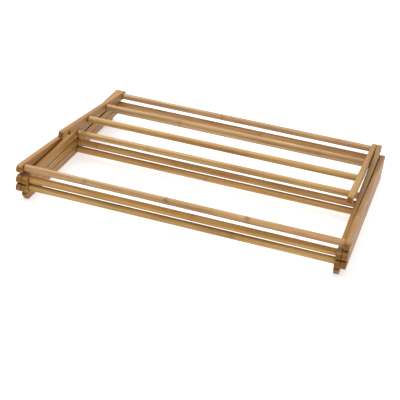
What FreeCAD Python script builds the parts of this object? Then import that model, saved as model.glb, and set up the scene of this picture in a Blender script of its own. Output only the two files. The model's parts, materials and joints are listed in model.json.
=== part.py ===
"""Folding accordion drying rack in wood, built in its folded, flat-lying state.

Axes: X runs along the dowels, Y from the front ends of the slats to the back ends, Z is up.
Every slat lies in one of three upright layers on each side: the outer layer carries the outer
slats, the middle layer the inner slats, and the layer nearest the middle the shelf slats.
Tier 1 is the lowest. Outer slats rise to the front, inner slats rise to the back.
"""
import FreeCAD
import Part
import math
import os

V = FreeCAD.Vector
X_AXIS = V(1, 0, 0)

# ---- driving dimensions, mm and degrees ----
width = 660.0              # over the outer faces of the outer slats
slat_thick = 11.0
slat_height = 17.2
layer_gap = 0.5            # air between neighbouring layers
pivot_spacing = 466.0      # front hole to back hole of a long slat
overhang = 17.3            # slat beyond its end holes
end_radius = 8.4           # rounding of the slat ends, seen from the side
edge_radius = 1.5          # softened long edges
tip_radius = 3.2           # blunted corners of the feet
dowel_dia = 14.0
tenon_dia = 10.0           # turned-down dowel ends that sit in the slats
shoulder_gap = 0.25        # dowel shoulder to the face of the slat it stops at
end_recess = 0.4           # tenon ends stop this far inside the slat face
end_chamfer = 0.6
pitch_low = 17.5           # folded height step of tiers 1 and 2
pitch_top = 22.0           # folded height step of tier 3
turning_clearance = 0.1    # radial, where a slat turns on a dowel
loop_clearance = 0.3       # radial, second pivot of the lower loop
loose_clearance = 1.0      # radial, second pivot of the top loop
shelf_height = 18.2        # height of the shelf slats
shelf_step = 103.5         # spacing of rear pivot, two shelf dowels and hook notch
shelf_tilt = 4.25          # folded shelf, front end up
shelf_lip = 31.0           # shelf slat beyond the hook notch
notch_clearance = 0.35     # radial, hook notch round the top front dowel
notch_drop = 4.0           # notch centre below the shelf slat's middle line
shelf_end_radius = 7.5     # rounding of the shelf slat ends
overcut = 1.0              # cutting tools reach this far past the faces they cut
flat_within = 1e-6         # an edge narrower than this along X lies square to X

# ---- derived positions ----
slat_half = slat_height / 2
notch_distance = 3 * shelf_step
hook_reach = math.hypot(notch_distance, notch_drop)
open_angle = math.degrees(math.acos(hook_reach / pivot_spacing))
low_angle = math.degrees(math.asin(pitch_low / pivot_spacing))
top_angle = math.degrees(math.asin(pitch_top / pivot_spacing))
depth = pivot_spacing * math.cos(math.radians(low_angle))
y_front = -depth / 2
y_back = depth / 2


def sole_start():
    """Distance from the slat tip to where the sole meets the lower edge."""
    return slat_height / math.tan(math.radians(open_angle))


def foot_hole_level():
    """Height of a foot's end pivot line above the floor when folded; the heel touches down."""
    a = math.radians(low_angle)
    y = sole_start() - overhang + tip_radius * math.tan(math.radians(open_angle) / 2)
    z = tip_radius - slat_half
    return tip_radius - y * math.sin(a) - z * math.cos(a)


z_foot = foot_hole_level()
level = [z_foot, z_foot + pitch_low, z_foot + 2 * pitch_low,
         z_foot + 2 * pitch_low + pitch_top]

# inside face of each layer, measured from the middle of the rack
layer_x = {
    "outer": width / 2 - slat_thick,
    "inner": width / 2 - 2 * slat_thick - layer_gap,
    "shelf": width / 2 - 3 * slat_thick - 2 * layer_gap,
}


def end_rims(body):
    """Edges round the two end faces of a body that is drawn along X."""
    return [e for e in body.Edges if e.BoundBox.XLength < flat_within]


# ---- slat outlines, drawn with Y along the slat and Z across it, front hole at Y = 0 ----
def rounded(points, radii):
    """Closed outline through the points with each corner rounded by its radius."""
    count = len(points)
    starts, ends, arcs = [], [], []
    for i in range(count):
        p, a, b = points[i], points[i - 1], points[(i + 1) % count]
        to_a, to_b = (a - p).normalize(), (b - p).normalize()
        half = to_a.getAngle(to_b) / 2
        reach = radii[i] / math.tan(half)
        first, last = p + to_a * reach, p + to_b * reach
        centre = p + (to_a + to_b).normalize() * (radii[i] / math.sin(half))
        middle = centre + (p - centre).normalize() * radii[i]
        starts.append(first)
        ends.append(last)
        arcs.append(Part.Arc(first, middle, last).toShape())
    sides = [Part.makeLine(ends[i], starts[(i + 1) % count]) for i in range(count)]
    return Part.Wire(Part.__sortEdges__(arcs + sides))


def blank(points, radii):
    """Slat body with softened long edges, X from 0 to the slat thickness."""
    body = Part.Face(rounded(points, radii)).extrude(V(slat_thick, 0, 0))
    return body.makeFillet(edge_radius, end_rims(body))


def long_slat(front_foot=False, back_foot=False):
    """Long slat; a foot end is cut so its sole is level once the rack stands open."""
    h, e, span = slat_half, overhang, pivot_spacing
    cut = sole_start()
    if front_foot:
        front = [(V(0, -e + cut, -h), tip_radius), (V(0, -e, h), tip_radius)]
    else:
        front = [(V(0, -e, -h), end_radius), (V(0, -e, h), end_radius)]
    if back_foot:
        back = [(V(0, span + e, h), tip_radius), (V(0, span + e - cut, -h), tip_radius)]
    else:
        back = [(V(0, span + e, h), end_radius), (V(0, span + e, -h), end_radius)]
    corners = front + back
    return blank([c[0] for c in corners], [c[1] for c in corners])


def shelf_slat():
    """Shelf slat, rear pivot at Y = 0 and the slat running forward to negative Y."""
    h, e = shelf_height / 2, overhang
    reach = notch_distance + shelf_lip
    points = [V(0, -reach, -h), V(0, -reach, h), V(0, e, h), V(0, e, -h)]
    body = blank(points, [shelf_end_radius] * len(points))
    radius = dowel_dia / 2 + notch_clearance
    centre = V(-overcut, -notch_distance, -notch_drop)
    through = slat_thick + 2 * overcut
    notch = Part.makeCylinder(radius, through, centre, X_AXIS)
    mouth = Part.makeBox(through, 2 * radius, h, centre - V(0, radius, h))
    return body.cut(notch).cut(mouth)


def drill(body, y, clearance):
    """Round hole through the slat for a dowel's tenon."""
    through = slat_thick + 2 * overcut
    hole = Part.makeCylinder(tenon_dia / 2 + clearance, through, V(-overcut, y, 0), X_AXIS)
    return body.cut(hole)


def set_in_place(body, side, layer, angle, y, z):
    """Turn the slat about its first hole and put it in its layer on one side."""
    x = layer_x[layer] if side == "right" else -layer_x[layer] - slat_thick
    body = body.copy()
    body.rotate(V(0, 0, 0), X_AXIS, angle)
    body.translate(V(x, y, z))
    return body


# ---- long slats: name, layer, feet, holes as (position, clearance), tilt, front hole level ----
fixed, turning = 0.0, turning_clearance
middle = pivot_spacing / 2
long_slats = [
    ("outer_slat_1", "outer", (False, True), [(0, fixed), (middle, turning)], -low_angle, level[1]),
    ("inner_slat_1", "inner", (True, False), [(middle, fixed), (pivot_spacing, fixed)],
     low_angle, level[0]),
    ("outer_slat_2", "outer", (False, False),
     [(0, fixed), (middle, turning), (pivot_spacing, loop_clearance)], -low_angle, level[2]),
    ("inner_slat_2", "inner", (False, False),
     [(0, turning), (middle, turning), (pivot_spacing, fixed)], low_angle, level[1]),
    ("outer_slat_3", "outer", (False, False),
     [(0, fixed), (middle, turning), (pivot_spacing, loose_clearance)], -top_angle, level[3]),
    ("inner_slat_3", "inner", (False, False),
     [(0, turning), (middle, fixed), (pivot_spacing, fixed)], top_angle, level[2]),
]

parts = {}
for name, layer, feet, holes, angle, z in long_slats:
    body = long_slat(*feet)
    for y, clearance in holes:
        body = drill(body, y, clearance)
    for side in ("left", "right"):
        parts[name + "_" + side] = set_in_place(body, side, layer, angle, y_front, z)

# ---- shelf slats, hung on the top back dowel ----
y_hang = y_front + pivot_spacing * math.cos(math.radians(top_angle))
body = drill(shelf_slat(), 0, turning)
for step in (1, 2):
    body = drill(body, -step * shelf_step, fixed)
for side in ("left", "right"):
    parts["shelf_slat_" + side] = set_in_place(body, side, "shelf", -shelf_tilt, y_hang, level[3])


# ---- dowels ----
def round_bar(half_length, radius, y, z):
    """Bar across the rack with its end rims chamfered."""
    bar = Part.makeCylinder(radius, 2 * half_length, V(-half_length, y, z), X_AXIS)
    return bar.makeChamfer(end_chamfer, end_rims(bar))


def dowel(y, z, shoulder_layer, end_layer):
    """Dowel with its shoulders at one slat layer and its tenons through to the end layer."""
    shoulder = layer_x[shoulder_layer] - shoulder_gap
    end = layer_x[end_layer] + slat_thick - end_recess
    return round_bar(shoulder, dowel_dia / 2, y, z).fuse(round_bar(end, tenon_dia / 2, y, z))


def along_shelf(distance):
    """Y and Z of a point on the folded shelf's middle line, this far from its rear pivot."""
    a = math.radians(shelf_tilt)
    return y_hang - distance * math.cos(a), level[3] + distance * math.sin(a)


top_middle = y_front + middle * math.cos(math.radians(top_angle))
dowels = [
    ("front_dowel_1", y_front, level[1], "inner", "outer"),
    ("front_dowel_2", y_front, level[2], "inner", "outer"),
    ("front_dowel_3", y_front, level[3], "outer", "outer"),
    ("middle_dowel_1", 0.0, (level[0] + level[1]) / 2, "inner", "outer"),
    ("middle_dowel_2", 0.0, (level[1] + level[2]) / 2, "inner", "outer"),
    ("middle_dowel_3", top_middle, (level[2] + level[3]) / 2, "inner", "outer"),
    ("back_dowel_1", y_back, level[1], "inner", "outer"),
    ("back_dowel_2", y_back, level[2], "inner", "outer"),
    ("back_dowel_3", y_hang, level[3], "shelf", "inner"),
    ("shelf_dowel_1", *along_shelf(shelf_step), "shelf", "shelf"),
    ("shelf_dowel_2", *along_shelf(2 * shelf_step), "shelf", "shelf"),
]
for name, y, z, shoulder_layer, end_layer in dowels:
    parts[name] = dowel(y, z, shoulder_layer, end_layer)

# ---- write one file per piece ----
os.makedirs("parts", exist_ok=True)
for name, shape in parts.items():
    if len(shape.Solids) != 1 or not shape.isValid():
        raise RuntimeError("bad solid: " + name)
    shape.Solids[0].exportStep("parts/" + name + ".step")
print(len(parts), "pieces, opens to", round(open_angle, 3), "degrees; folded tilt",
      round(low_angle, 3), round(top_angle, 3), "levels", [round(v, 3) for v in level],
      "y", round(y_front, 3), round(y_hang, 3))
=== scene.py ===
"""Looks of the folding wooden drying rack: wood on every CAD piece, floor, sky, lamp and camera."""

import json
import math
import random

import bpy
from mathutils import Euler, Matrix, Vector

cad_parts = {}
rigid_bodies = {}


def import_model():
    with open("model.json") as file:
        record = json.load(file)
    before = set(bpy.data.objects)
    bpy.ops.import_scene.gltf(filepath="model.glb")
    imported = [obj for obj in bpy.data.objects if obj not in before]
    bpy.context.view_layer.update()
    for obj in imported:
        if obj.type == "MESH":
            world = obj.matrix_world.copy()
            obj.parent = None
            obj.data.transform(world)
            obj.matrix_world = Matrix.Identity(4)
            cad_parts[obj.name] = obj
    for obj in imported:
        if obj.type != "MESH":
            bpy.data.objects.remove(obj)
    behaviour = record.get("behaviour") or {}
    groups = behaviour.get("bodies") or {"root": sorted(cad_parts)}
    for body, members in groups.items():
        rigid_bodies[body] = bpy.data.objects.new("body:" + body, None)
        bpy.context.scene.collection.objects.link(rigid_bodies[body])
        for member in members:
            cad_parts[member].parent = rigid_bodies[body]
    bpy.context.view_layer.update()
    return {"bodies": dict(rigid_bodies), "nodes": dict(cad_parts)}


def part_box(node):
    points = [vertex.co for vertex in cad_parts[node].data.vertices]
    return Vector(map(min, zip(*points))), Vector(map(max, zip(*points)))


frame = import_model()
nodes = frame["nodes"]


# ---- colours ----
def rgb(r, g, b):
    """Linear colour from 0-255 screen values."""
    def lin(v):
        v /= 255
        return v / 12.92 if v <= 0.04045 else ((v + 0.055) / 1.055) ** 2.4
    return (lin(r), lin(g), lin(b), 1.0)


PALE = rgb(206, 168, 112)
HONEY = rgb(186, 143, 85)
TAN = rgb(164, 119, 66)
BROWN = rgb(120, 75, 32)
DARK = rgb(60, 27, 8)
RUSSET = rgb(166, 102, 62)
OLIVE = rgb(158, 130, 72)
WHITE = (1.0, 1.0, 1.0, 1.0)

# ---- wood patterns: repeats per metre along the grain, then across it both ways ----
WANDER = (5, 22, 22)
FIBRES = (14, 900, 900)
STRANDS = (4, 210, 210)
PORES = (70, 1500, 1500)
PATCHES = (7, 30, 30)
CLOUDS = (2.2, 6, 6)
BLUSHES = (9, 42, 42)
RAGGED = (60, 260, 260)
SMUDGES = (40, 150, 150)
END_DOTS = (30, 1100, 1100)

WANDER_DEPTH = 0.006            # metres that the grain wanders sideways
RINGS_PER_METRE = (330, 430)
HEART_AWAY = (0.025, 0.06)      # metres from a piece to the heart of its rings
GRAIN_LEAN = 0.02               # most sideways slope of the rings along a piece
NODE_HALF_WIDTH = 0.008         # metres, of a dark growth node
NODE_RAGGED = 0.007             # metres that a growth node's edge strays
NODE_DARKNESS = 0.75
# darkness of end faces: the end grain's own colour together with painted shade
END_GRAIN_AND_SHADE_DARKNESS = 0.75
WORN_RADIUS = 0.0022            # metres round an edge that handling rubs pale
WORN_PALENESS = 0.16
SHADE_REACH = 0.008              # metres from a neighbour within which corners are painted darker as shade
ROUGHNESS = 0.40                # of the clear finish before the grain shows through
GLOSS = 0.36
COAT = 0.08
COAT_ROUGHNESS = 0.3
BUMP_STRENGTH = 0.35
BUMP_DEPTH = 0.0005

# ---- how far single pieces differ in tone ----
WARMTH_SPREAD = 0.1
SATURATION_SPREAD = 0.06
HUE_SPREAD = 0.006
BRIGHTNESS_SPREAD = 0.07
PATTERN_SHIFT = 3               # metres that each piece's pattern is moved at most
NODE_SEED = 100
WOOD_SEED, WOOD_SEED_STEP = 1000, 17

# ---- each kind of piece: brightness, saturation, hue, strength of the painted shade in the corners ----
DOWEL_LOOK = (1.08, 0.98, 0.503, 0.35)
SLAT_LOOK = (0.83, 1.11, 0.498, 0.92)
# painted shade: these slats on the right get a darker tone to stand in for the shade on them
PAINTED_SHADE_DARKER = {"inner_slat_3_right": 0.8, "outer_slat_3_right": 0.85, "inner_slat_1_right": 0.88}

# growth nodes: metres along the piece from its middle, and strength
GROWTH_NODES = {
    "front_dowel_3": [(-0.190, 0.7), (-0.025, 0.9), (0.135, 0.8)],
    "front_dowel_2": [(0.03, 0.35)],
    "front_dowel_1": [(0.11, 0.5)],
    "shelf_dowel_1": [(-0.12, 0.4), (0.20, 0.35)],
    "shelf_dowel_2": [(0.06, 0.35)],
    "back_dowel_3": [(-0.05, 0.4), (0.22, 0.3)],
}
SLAT_NODE_REACH = 0.2           # other pieces get one node, this far from the middle at most
DOWEL_NODE_REACH = 0.28
NODE_STRENGTH = (0.25, 0.6)

# ---- slat sizes that give the grain its slope, metres ----
SLAT_HEIGHT = 0.0172
SHELF_SLAT_HEIGHT = 0.0182
END_ROUNDING = 0.0084

# ---- floor, light and camera ----
FLOOR_SIZE = 60
FLOOR_GAP = 0.0002
FLOOR_COLOUR = (0.6, 0.6, 0.6, 1)
FLOOR_SPECK = 0.985             # tone of the faint specks, as a part of the floor's colour
SPECKS_PER_METRE = 3.0
FLOOR_ROUGHNESS = 0.7
FLOOR_GLOSS = 0.2
FLOOR_GLOW = 0.56
FOOT_SETBACK = 0.008            # from the tip of a front foot to the point that stands
SKY_LEAN = (-0.2, 0.35, 0.92)   # towards the brightest part of the sky
SKY_SPAN = (-0.5, 1.0)          # cosines from that direction over which the sky brightens
SKY_LOW, SKY_HIGH = 0.22, 1.4
HORIZON = 0.8
HORIZON_BAND = (0.05, 0.24)     # sines of the elevations over which the band fades out
KEY_PLACE = (-1.1, 0.5, 2.3)
KEY_SIZE = 0.8
KEY_POWER = 28
CAMERA_PLACE = (0.45162, -1.80568, 0.89784)
CAMERA_ANGLES = (63.25332, -5.79449, 17.56314)   # degrees about X, Y and Z
SENSOR_WIDTH = 36.0
LENS = 87.75
CLIP = (0.05, 60.0)


class Graph:
    """Short names for building the node tree of a material or a world."""

    def __init__(self, owner):
        owner.use_nodes = True
        self.owner = owner
        self.tree = owner.node_tree
        self.tree.nodes.clear()

    def node(self, kind, inputs=(), **props):
        n = self.tree.nodes.new(kind)
        for key, value in props.items():
            setattr(n, key, value)
        for key, value in dict(inputs).items():
            self.put(n.inputs[key], value)
        return n

    def put(self, socket, value):
        if isinstance(value, bpy.types.NodeSocket):
            self.tree.links.new(value, socket)
        else:
            socket.default_value = value

    def math(self, op, a, b=0.0):
        return self.node("ShaderNodeMath", {0: a, 1: b}, operation=op).outputs[0]

    def vector(self, op, a, b):
        return self.node("ShaderNodeVectorMath", {0: a, 1: b}, operation=op).outputs[0]

    def dot(self, a, b):
        n = self.node("ShaderNodeVectorMath", {0: a, 1: b}, operation="DOT_PRODUCT")
        return n.outputs["Value"]

    def split(self, vector):
        return self.node("ShaderNodeSeparateXYZ", {0: vector}).outputs

    def mix(self, factor, a, b):
        n = self.node("ShaderNodeMix", data_type="RGBA")
        self.put(n.inputs[0], factor)
        self.put(n.inputs[6], a)
        self.put(n.inputs[7], b)
        return n.outputs[2]

    def tint(self, base, amount, strength, colour):
        """Base colour with the other colour laid over it by amount times strength."""
        return self.mix(self.math("MULTIPLY", amount, strength), base, colour)

    def smooth(self, value, low, high, at_low, at_high):
        """Eased step from at_low to at_high as the value goes from low to high."""
        return self.node("ShaderNodeMapRange", {
            "Value": value, "From Min": low, "From Max": high,
            "To Min": at_low, "To Max": at_high}, interpolation_type="SMOOTHSTEP").outputs[0]

    def ramp(self, value, stops, ease="LINEAR"):
        """Grey level that follows the (position, level) stops."""
        n = self.node("ShaderNodeValToRGB", {0: value})
        n.color_ramp.interpolation = ease
        marks = n.color_ramp.elements
        while len(marks) > 1:
            marks.remove(marks[-1])
        for i, (at, level) in enumerate(stops):
            mark = marks[0] if i == 0 else marks.new(at)
            mark.position = at
            mark.color = (level, level, level, 1)
        return n.outputs[0]

    def rise(self, value, low, high):
        return self.ramp(value, [(low, 0.0), (high, 1.0)])

    def fall(self, value, low, high):
        return self.ramp(value, [(low, 1.0), (high, 0.0)])

    def stretch(self, vector, sizes, shift=(0, 0, 0), turn=(0, 0, 0)):
        n = self.node("ShaderNodeMapping", {"Vector": vector})
        n.inputs["Location"].default_value = shift
        n.inputs["Rotation"].default_value = turn
        n.inputs["Scale"].default_value = sizes
        return n.outputs[0]

    def noise(self, vector, detail, rough=0.5, scale=1.0):
        return self.node("ShaderNodeTexNoise", {
            "Vector": vector, "Scale": scale, "Detail": detail, "Roughness": rough}).outputs[0]

    def cells(self, vector):
        return self.node("ShaderNodeTexVoronoi", {"Vector": vector, "Scale": 1.0}).outputs[0]


# ---- wood ----
def along_piece(g, centre, along):
    """Position in the piece, with the grain on X and the piece's middle line through zero."""
    place = g.node("ShaderNodeTexCoord").outputs["Object"]
    moved = g.vector("ADD", place, tuple(-c for c in centre))
    turn = Vector(along).rotation_difference(Vector((1, 0, 0))).to_euler()
    return g.stretch(moved, (1, 1, 1), turn=tuple(turn))


def wandering(g, straight, offset):
    """The same position after a slow sideways wander of the grain."""
    wander = g.node("ShaderNodeTexNoise", {
        "Vector": g.stretch(straight, WANDER, offset), "Scale": 1.0, "Detail": 2.0}).outputs[1]
    sway = g.vector("SUBTRACT", wander, (0.5, 0.5, 0.5))
    sway = g.vector("MULTIPLY", sway, (0.0, WANDER_DEPTH, WANDER_DEPTH))
    return g.vector("ADD", straight, sway)


def growth_rings(g, grain, rnd):
    """Light to dark growth rings round a heart that lies outside the piece."""
    heart = rnd.uniform(*HEART_AWAY)
    side = rnd.uniform(0, 2 * math.pi)
    lean_y = rnd.uniform(-GRAIN_LEAN, GRAIN_LEAN)
    lean_z = rnd.uniform(-GRAIN_LEAN, GRAIN_LEAN)
    x, y, z = g.split(g.vector("ADD", grain, (0, heart * math.cos(side), heart * math.sin(side))))
    y = g.math("ADD", y, g.math("MULTIPLY", x, lean_y))
    z = g.math("ADD", z, g.math("MULTIPLY", x, lean_z))
    away = g.math("SQRT", g.math("ADD", g.math("MULTIPLY", y, y), g.math("MULTIPLY", z, z)))
    turns = g.math("FRACT", g.math("MULTIPLY", away, rnd.uniform(*RINGS_PER_METRE)))
    return g.ramp(turns, [(0.0, 0.0), (0.55, 0.35), (0.86, 1.0), (1.0, 0.0)], "EASE")


def growth_nodes(g, base, straight, grain, offset, marks):
    """Dark ragged bands across the grain; returns the colour and the bands."""
    x = g.split(grain)[0]
    stray = g.noise(g.stretch(straight, RAGGED, offset), 3.0)
    ragged = g.math("MULTIPLY", g.math("SUBTRACT", stray, 0.5), NODE_RAGGED)
    bands = None
    for at, strength in marks:
        gap = g.math("ABSOLUTE", g.math("ADD", g.math("SUBTRACT", x, at), ragged))
        band = g.ramp(g.math("DIVIDE", gap, NODE_HALF_WIDTH),
                      [(0.0, 1.0), (0.25, 0.75), (1.0, 0.0)], "EASE")
        smudge = g.ramp(g.noise(g.stretch(straight, SMUDGES, (at * 9, 2, 5)), 2.0),
                        [(0.38, 0.15), (0.62, 1.0)])
        band = g.math("MULTIPLY", g.math("MULTIPLY", band, smudge), strength)
        base = g.tint(base, band, NODE_DARKNESS, DARK)
        bands = band if bands is None else g.math("MAXIMUM", bands, band)
    return base, bands


def end_grain_and_shade(g, base, straight, ring, offset, along):
    """Darker, dotted colour on faces square to the grain, partly the end grain's own colour and
    partly painted shade standing in for the dark front ends; returns the colour and the mask.
    """
    normal = g.node("ShaderNodeNewGeometry").outputs["Normal"]
    local = g.node("ShaderNodeVectorTransform", {0: normal}, vector_type="NORMAL",
                   convert_from="WORLD", convert_to="OBJECT").outputs[0]
    end = g.rise(g.math("ABSOLUTE", g.dot(local, tuple(along))), 0.6, 0.92)
    dots = g.cells(g.stretch(straight, END_DOTS, offset))
    colour = g.mix(g.fall(dots, 0.12, 0.45), BROWN, DARK)
    colour = g.tint(colour, ring, 0.4, TAN)
    # end faces darkened: the end grain's darker colour, and painted shade for ends turned away from
    # the light
    return g.tint(base, end, END_GRAIN_AND_SHADE_DARKNESS, colour), end


def wear_and_painted_shade(g, base, patches, corner_shade):
    """Edges rubbed paler, and painted shade: tight corners and gaps mixed towards dark from ambient
    occlusion; returns colour, wear and the part outside the painted shade.
    """
    soft = g.node("ShaderNodeBevel", {"Radius": WORN_RADIUS}, samples=4).outputs[0]
    edge = g.dot(soft, g.node("ShaderNodeNewGeometry").outputs["Normal"])
    worn = g.math("MULTIPLY", g.fall(edge, 0.86, 0.995),
                  g.ramp(patches, [(0.35, 0.1), (0.6, 1.0)]))
    base = g.tint(base, worn, WORN_PALENESS, PALE)
    # painted shade: ambient occlusion darkens tight corners and the gaps between parts towards DARK
    openness = g.node("ShaderNodeAmbientOcclusion", {"Distance": SHADE_REACH}, samples=6,
                      only_local=False).outputs["AO"]
    painted_shade = g.math("MULTIPLY", g.ramp(openness, [(0.22, 1.0), (0.82, 0.0)], "EASE"), corner_shade)
    return g.mix(painted_shade, base, DARK), worn, g.math("SUBTRACT", 1.0, painted_shade)


def wood(name, centre, along, seed, warmth, look, marks):
    """Clear-finished strip-grained wood running along one direction of a piece.

    centre is a point on the piece's middle line, along its grain direction, look is its
    (brightness, saturation, hue, strength of the painted shade in the corners), and marks are
    (position along the grain in metres from the centre, strength) of growth nodes.
    """
    brightness, saturation, hue, corner_shade = look
    rnd = random.Random(seed)
    offset = tuple(rnd.uniform(-PATTERN_SHIFT, PATTERN_SHIFT) for _ in range(3))
    g = Graph(bpy.data.materials.new(name))
    straight = along_piece(g, centre, along)
    grain = wandering(g, straight, offset)
    ring = growth_rings(g, grain, rnd)
    fibre = g.noise(g.stretch(grain, FIBRES, offset), 5.0, 0.62)
    strands = g.noise(g.stretch(grain, STRANDS, offset), 3.0)
    pore = g.fall(g.cells(g.stretch(grain, PORES, offset)), 0.06, 0.2)
    patches = g.noise(g.stretch(straight, PATCHES, offset), 3.0, 0.55)
    clouds = g.noise(g.stretch(straight, CLOUDS, offset), 2.0)
    blush = g.noise(g.stretch(straight, BLUSHES, (offset[2], offset[0], offset[1])), 2.0)

    base = g.mix(g.rise(clouds, 0.32, 0.68), HONEY, TAN)
    base = g.tint(base, g.rise(patches, 0.4, 0.75), 0.55, PALE)
    base = g.tint(base, g.rise(blush, 0.5, 0.72), 0.55, RUSSET)
    base = g.tint(base, g.fall(blush, 0.28, 0.46), 0.38, OLIVE)
    base = g.tint(base, ring, 0.42, BROWN)
    base = g.tint(base, g.rise(strands, 0.46, 0.64), 0.42, BROWN)
    base = g.tint(base, g.fall(strands, 0.34, 0.47), 0.4, PALE)
    base = g.tint(base, g.fall(fibre, 0.3, 0.62), 0.26, PALE)
    base = g.tint(base, g.rise(fibre, 0.5, 0.8), 0.3, BROWN)
    base = g.tint(base, pore, 0.35, DARK)
    base, bands = growth_nodes(g, base, straight, grain, offset, marks)
    base, end = end_grain_and_shade(g, base, straight, ring, offset, along)
    # real edge wear, and painted shade in corners and gaps between parts
    base, worn, unshaded = wear_and_painted_shade(g, base, patches, corner_shade)

    hue += rnd.uniform(-HUE_SPREAD, HUE_SPREAD)
    saturation += WARMTH_SPREAD * (warmth - 0.5)
    saturation += rnd.uniform(-SATURATION_SPREAD, SATURATION_SPREAD)
    brightness += rnd.uniform(-BRIGHTNESS_SPREAD, BRIGHTNESS_SPREAD)
    tone = g.node("ShaderNodeHueSaturation", {
        "Color": base, "Hue": hue, "Saturation": saturation, "Value": brightness})

    rough = g.math("ADD", ROUGHNESS, g.math("MULTIPLY", fibre, 0.16))
    rough = g.math("ADD", rough, g.math("MULTIPLY", end, 0.14))
    rough = g.math("ADD", rough, g.math("MULTIPLY", worn, 0.1))
    height = g.math("ADD", g.math("MULTIPLY", fibre, 0.5), g.math("MULTIPLY", strands, 0.5))
    height = g.math("SUBTRACT", height, g.math("MULTIPLY", pore, 0.5))
    height = g.math("SUBTRACT", height, g.math("MULTIPLY", ring, 0.25))
    height = g.math("ADD", height, g.math("MULTIPLY", bands, 0.8))
    bump = g.node("ShaderNodeBump", {
        "Height": height, "Strength": BUMP_STRENGTH, "Distance": BUMP_DEPTH})
    # the gloss is lowered where the corner shade is painted
    shader = g.node("ShaderNodeBsdfPrincipled", {
        "Base Color": tone.outputs[0], "Roughness": rough, "Normal": bump.outputs[0],
        "Specular IOR Level": g.math("MULTIPLY", unshaded, GLOSS),
        "Coat Weight": COAT, "Coat Roughness": COAT_ROUGHNESS})
    g.node("ShaderNodeOutputMaterial", {"Surface": shader.outputs[0]})
    return g.owner


def middle_line(name):
    """Centre point and grain direction of a piece, from its own box."""
    lo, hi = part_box(name)
    centre = (lo + hi) / 2
    if "dowel" in name:
        return centre, Vector((1, 0, 0))
    size = hi - lo
    height = SHELF_SLAT_HEIGHT if "shelf" in name else SLAT_HEIGHT
    rise = math.atan2(size.z - height, size.y - 2 * END_ROUNDING)
    if name.startswith("inner"):
        return centre, Vector((0, math.cos(rise), math.sin(rise)))
    return centre, Vector((0, math.cos(rise), -math.sin(rise)))


def dress(name, number):
    """Gives one CAD piece its own wood and smooth shading."""
    rnd = random.Random(NODE_SEED + number)
    marks = GROWTH_NODES.get(name)
    if marks is None:
        reach = SLAT_NODE_REACH if "slat" in name else DOWEL_NODE_REACH
        marks = [(rnd.uniform(-reach, reach), rnd.uniform(*NODE_STRENGTH))]
    brightness, *rest = DOWEL_LOOK if "dowel" in name else SLAT_LOOK
    # painted shade: the listed right-hand slats get a lower brightness
    look = (brightness * PAINTED_SHADE_DARKER.get(name, 1.0), *rest)
    seed = WOOD_SEED + WOOD_SEED_STEP * number
    centre, along = middle_line(name)
    mesh = nodes[name].data
    mesh.materials.clear()
    mesh.materials.append(wood("wood_" + name, centre, along, seed, rnd.random(), look, marks))
    for face in mesh.polygons:
        face.use_smooth = True


for number, name in enumerate(sorted(nodes)):
    dress(name, number)


# ---- floor, sky, lamp and camera ----
def pale_floor():
    """Wide, even, pale floor; its glow keeps shadows on it faint."""
    bpy.ops.mesh.primitive_plane_add(size=FLOOR_SIZE, location=(0, 0, -FLOOR_GAP))
    plane = bpy.context.object
    plane.name = "floor"
    g = Graph(bpy.data.materials.new("floor_white"))
    place = g.node("ShaderNodeTexCoord").outputs["Object"]
    speck = g.noise(place, 3.0, scale=SPECKS_PER_METRE)
    speck_colour = tuple(c * FLOOR_SPECK for c in FLOOR_COLOUR[:3]) + (1,)
    shader = g.node("ShaderNodeBsdfPrincipled", {
        "Base Color": g.mix(speck, FLOOR_COLOUR, speck_colour), "Roughness": FLOOR_ROUGHNESS,
        "Specular IOR Level": FLOOR_GLOSS, "Emission Color": WHITE,
        "Emission Strength": FLOOR_GLOW})
    g.node("ShaderNodeOutputMaterial", {"Surface": shader.outputs[0]})
    plane.data.materials.append(g.owner)
    return plane


def follow_the_feet(plane):
    """Lets the floor sink with the lowest slats, so the rack stands on it in every pose."""
    lo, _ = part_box("inner_slat_1_left")
    foot = bpy.data.objects.new("foot_point", None)
    bpy.context.scene.collection.objects.link(foot)
    foot.parent = frame["bodies"]["inner_1"]
    foot.location = (0.0, lo.y + FOOT_SETBACK, -FLOOR_GAP)
    hold = plane.constraints.new("COPY_LOCATION")
    hold.target = foot
    hold.use_x = hold.use_y = False


def studio_sky():
    """White sky, brightest overhead and dimmest at the front, with a pale band at the horizon."""
    world = bpy.data.worlds.new("studio")
    bpy.context.scene.world = world
    g = Graph(world)
    towards = g.node("ShaderNodeTexCoord").outputs["Generated"]
    dome = g.smooth(g.dot(towards, SKY_LEAN), *SKY_SPAN, SKY_LOW, SKY_HIGH)
    height = g.math("ABSOLUTE", g.split(towards)[2])
    band = g.smooth(height, *HORIZON_BAND, 1.0, 0.0)
    lift = g.math("MULTIPLY", band, g.math("SUBTRACT", HORIZON, dome))
    light = g.node("ShaderNodeBackground", {
        "Color": WHITE, "Strength": g.math("ADD", dome, lift)})
    g.node("ShaderNodeOutputWorld", {"Surface": light.outputs[0]})


def soft_lamp(name, place, size, power):
    """Round area lamp that points at the middle of the rack."""
    data = bpy.data.lights.new(name, "AREA")
    data.shape = "DISK"
    data.size = size
    data.energy = power
    lamp = bpy.data.objects.new(name, data)
    bpy.context.scene.collection.objects.link(lamp)
    lamp.location = place
    lamp.rotation_euler = (-Vector(place)).to_track_quat("-Z", "Y").to_euler()


def main_camera():
    data = bpy.data.cameras.new("camera")
    data.sensor_width = SENSOR_WIDTH
    data.lens = LENS
    data.dof.use_dof = False
    data.clip_start, data.clip_end = CLIP
    camera = bpy.data.objects.new("camera", data)
    bpy.context.scene.collection.objects.link(camera)
    turn = Euler([math.radians(a) for a in CAMERA_ANGLES])
    camera.matrix_world = Matrix.LocRotScale(Vector(CAMERA_PLACE), turn, None)
    bpy.context.scene.camera = camera


follow_the_feet(pale_floor())
studio_sky()
soft_lamp("key", KEY_PLACE, KEY_SIZE, KEY_POWER)
main_camera()
bpy.context.scene.view_settings.view_transform = "Standard"
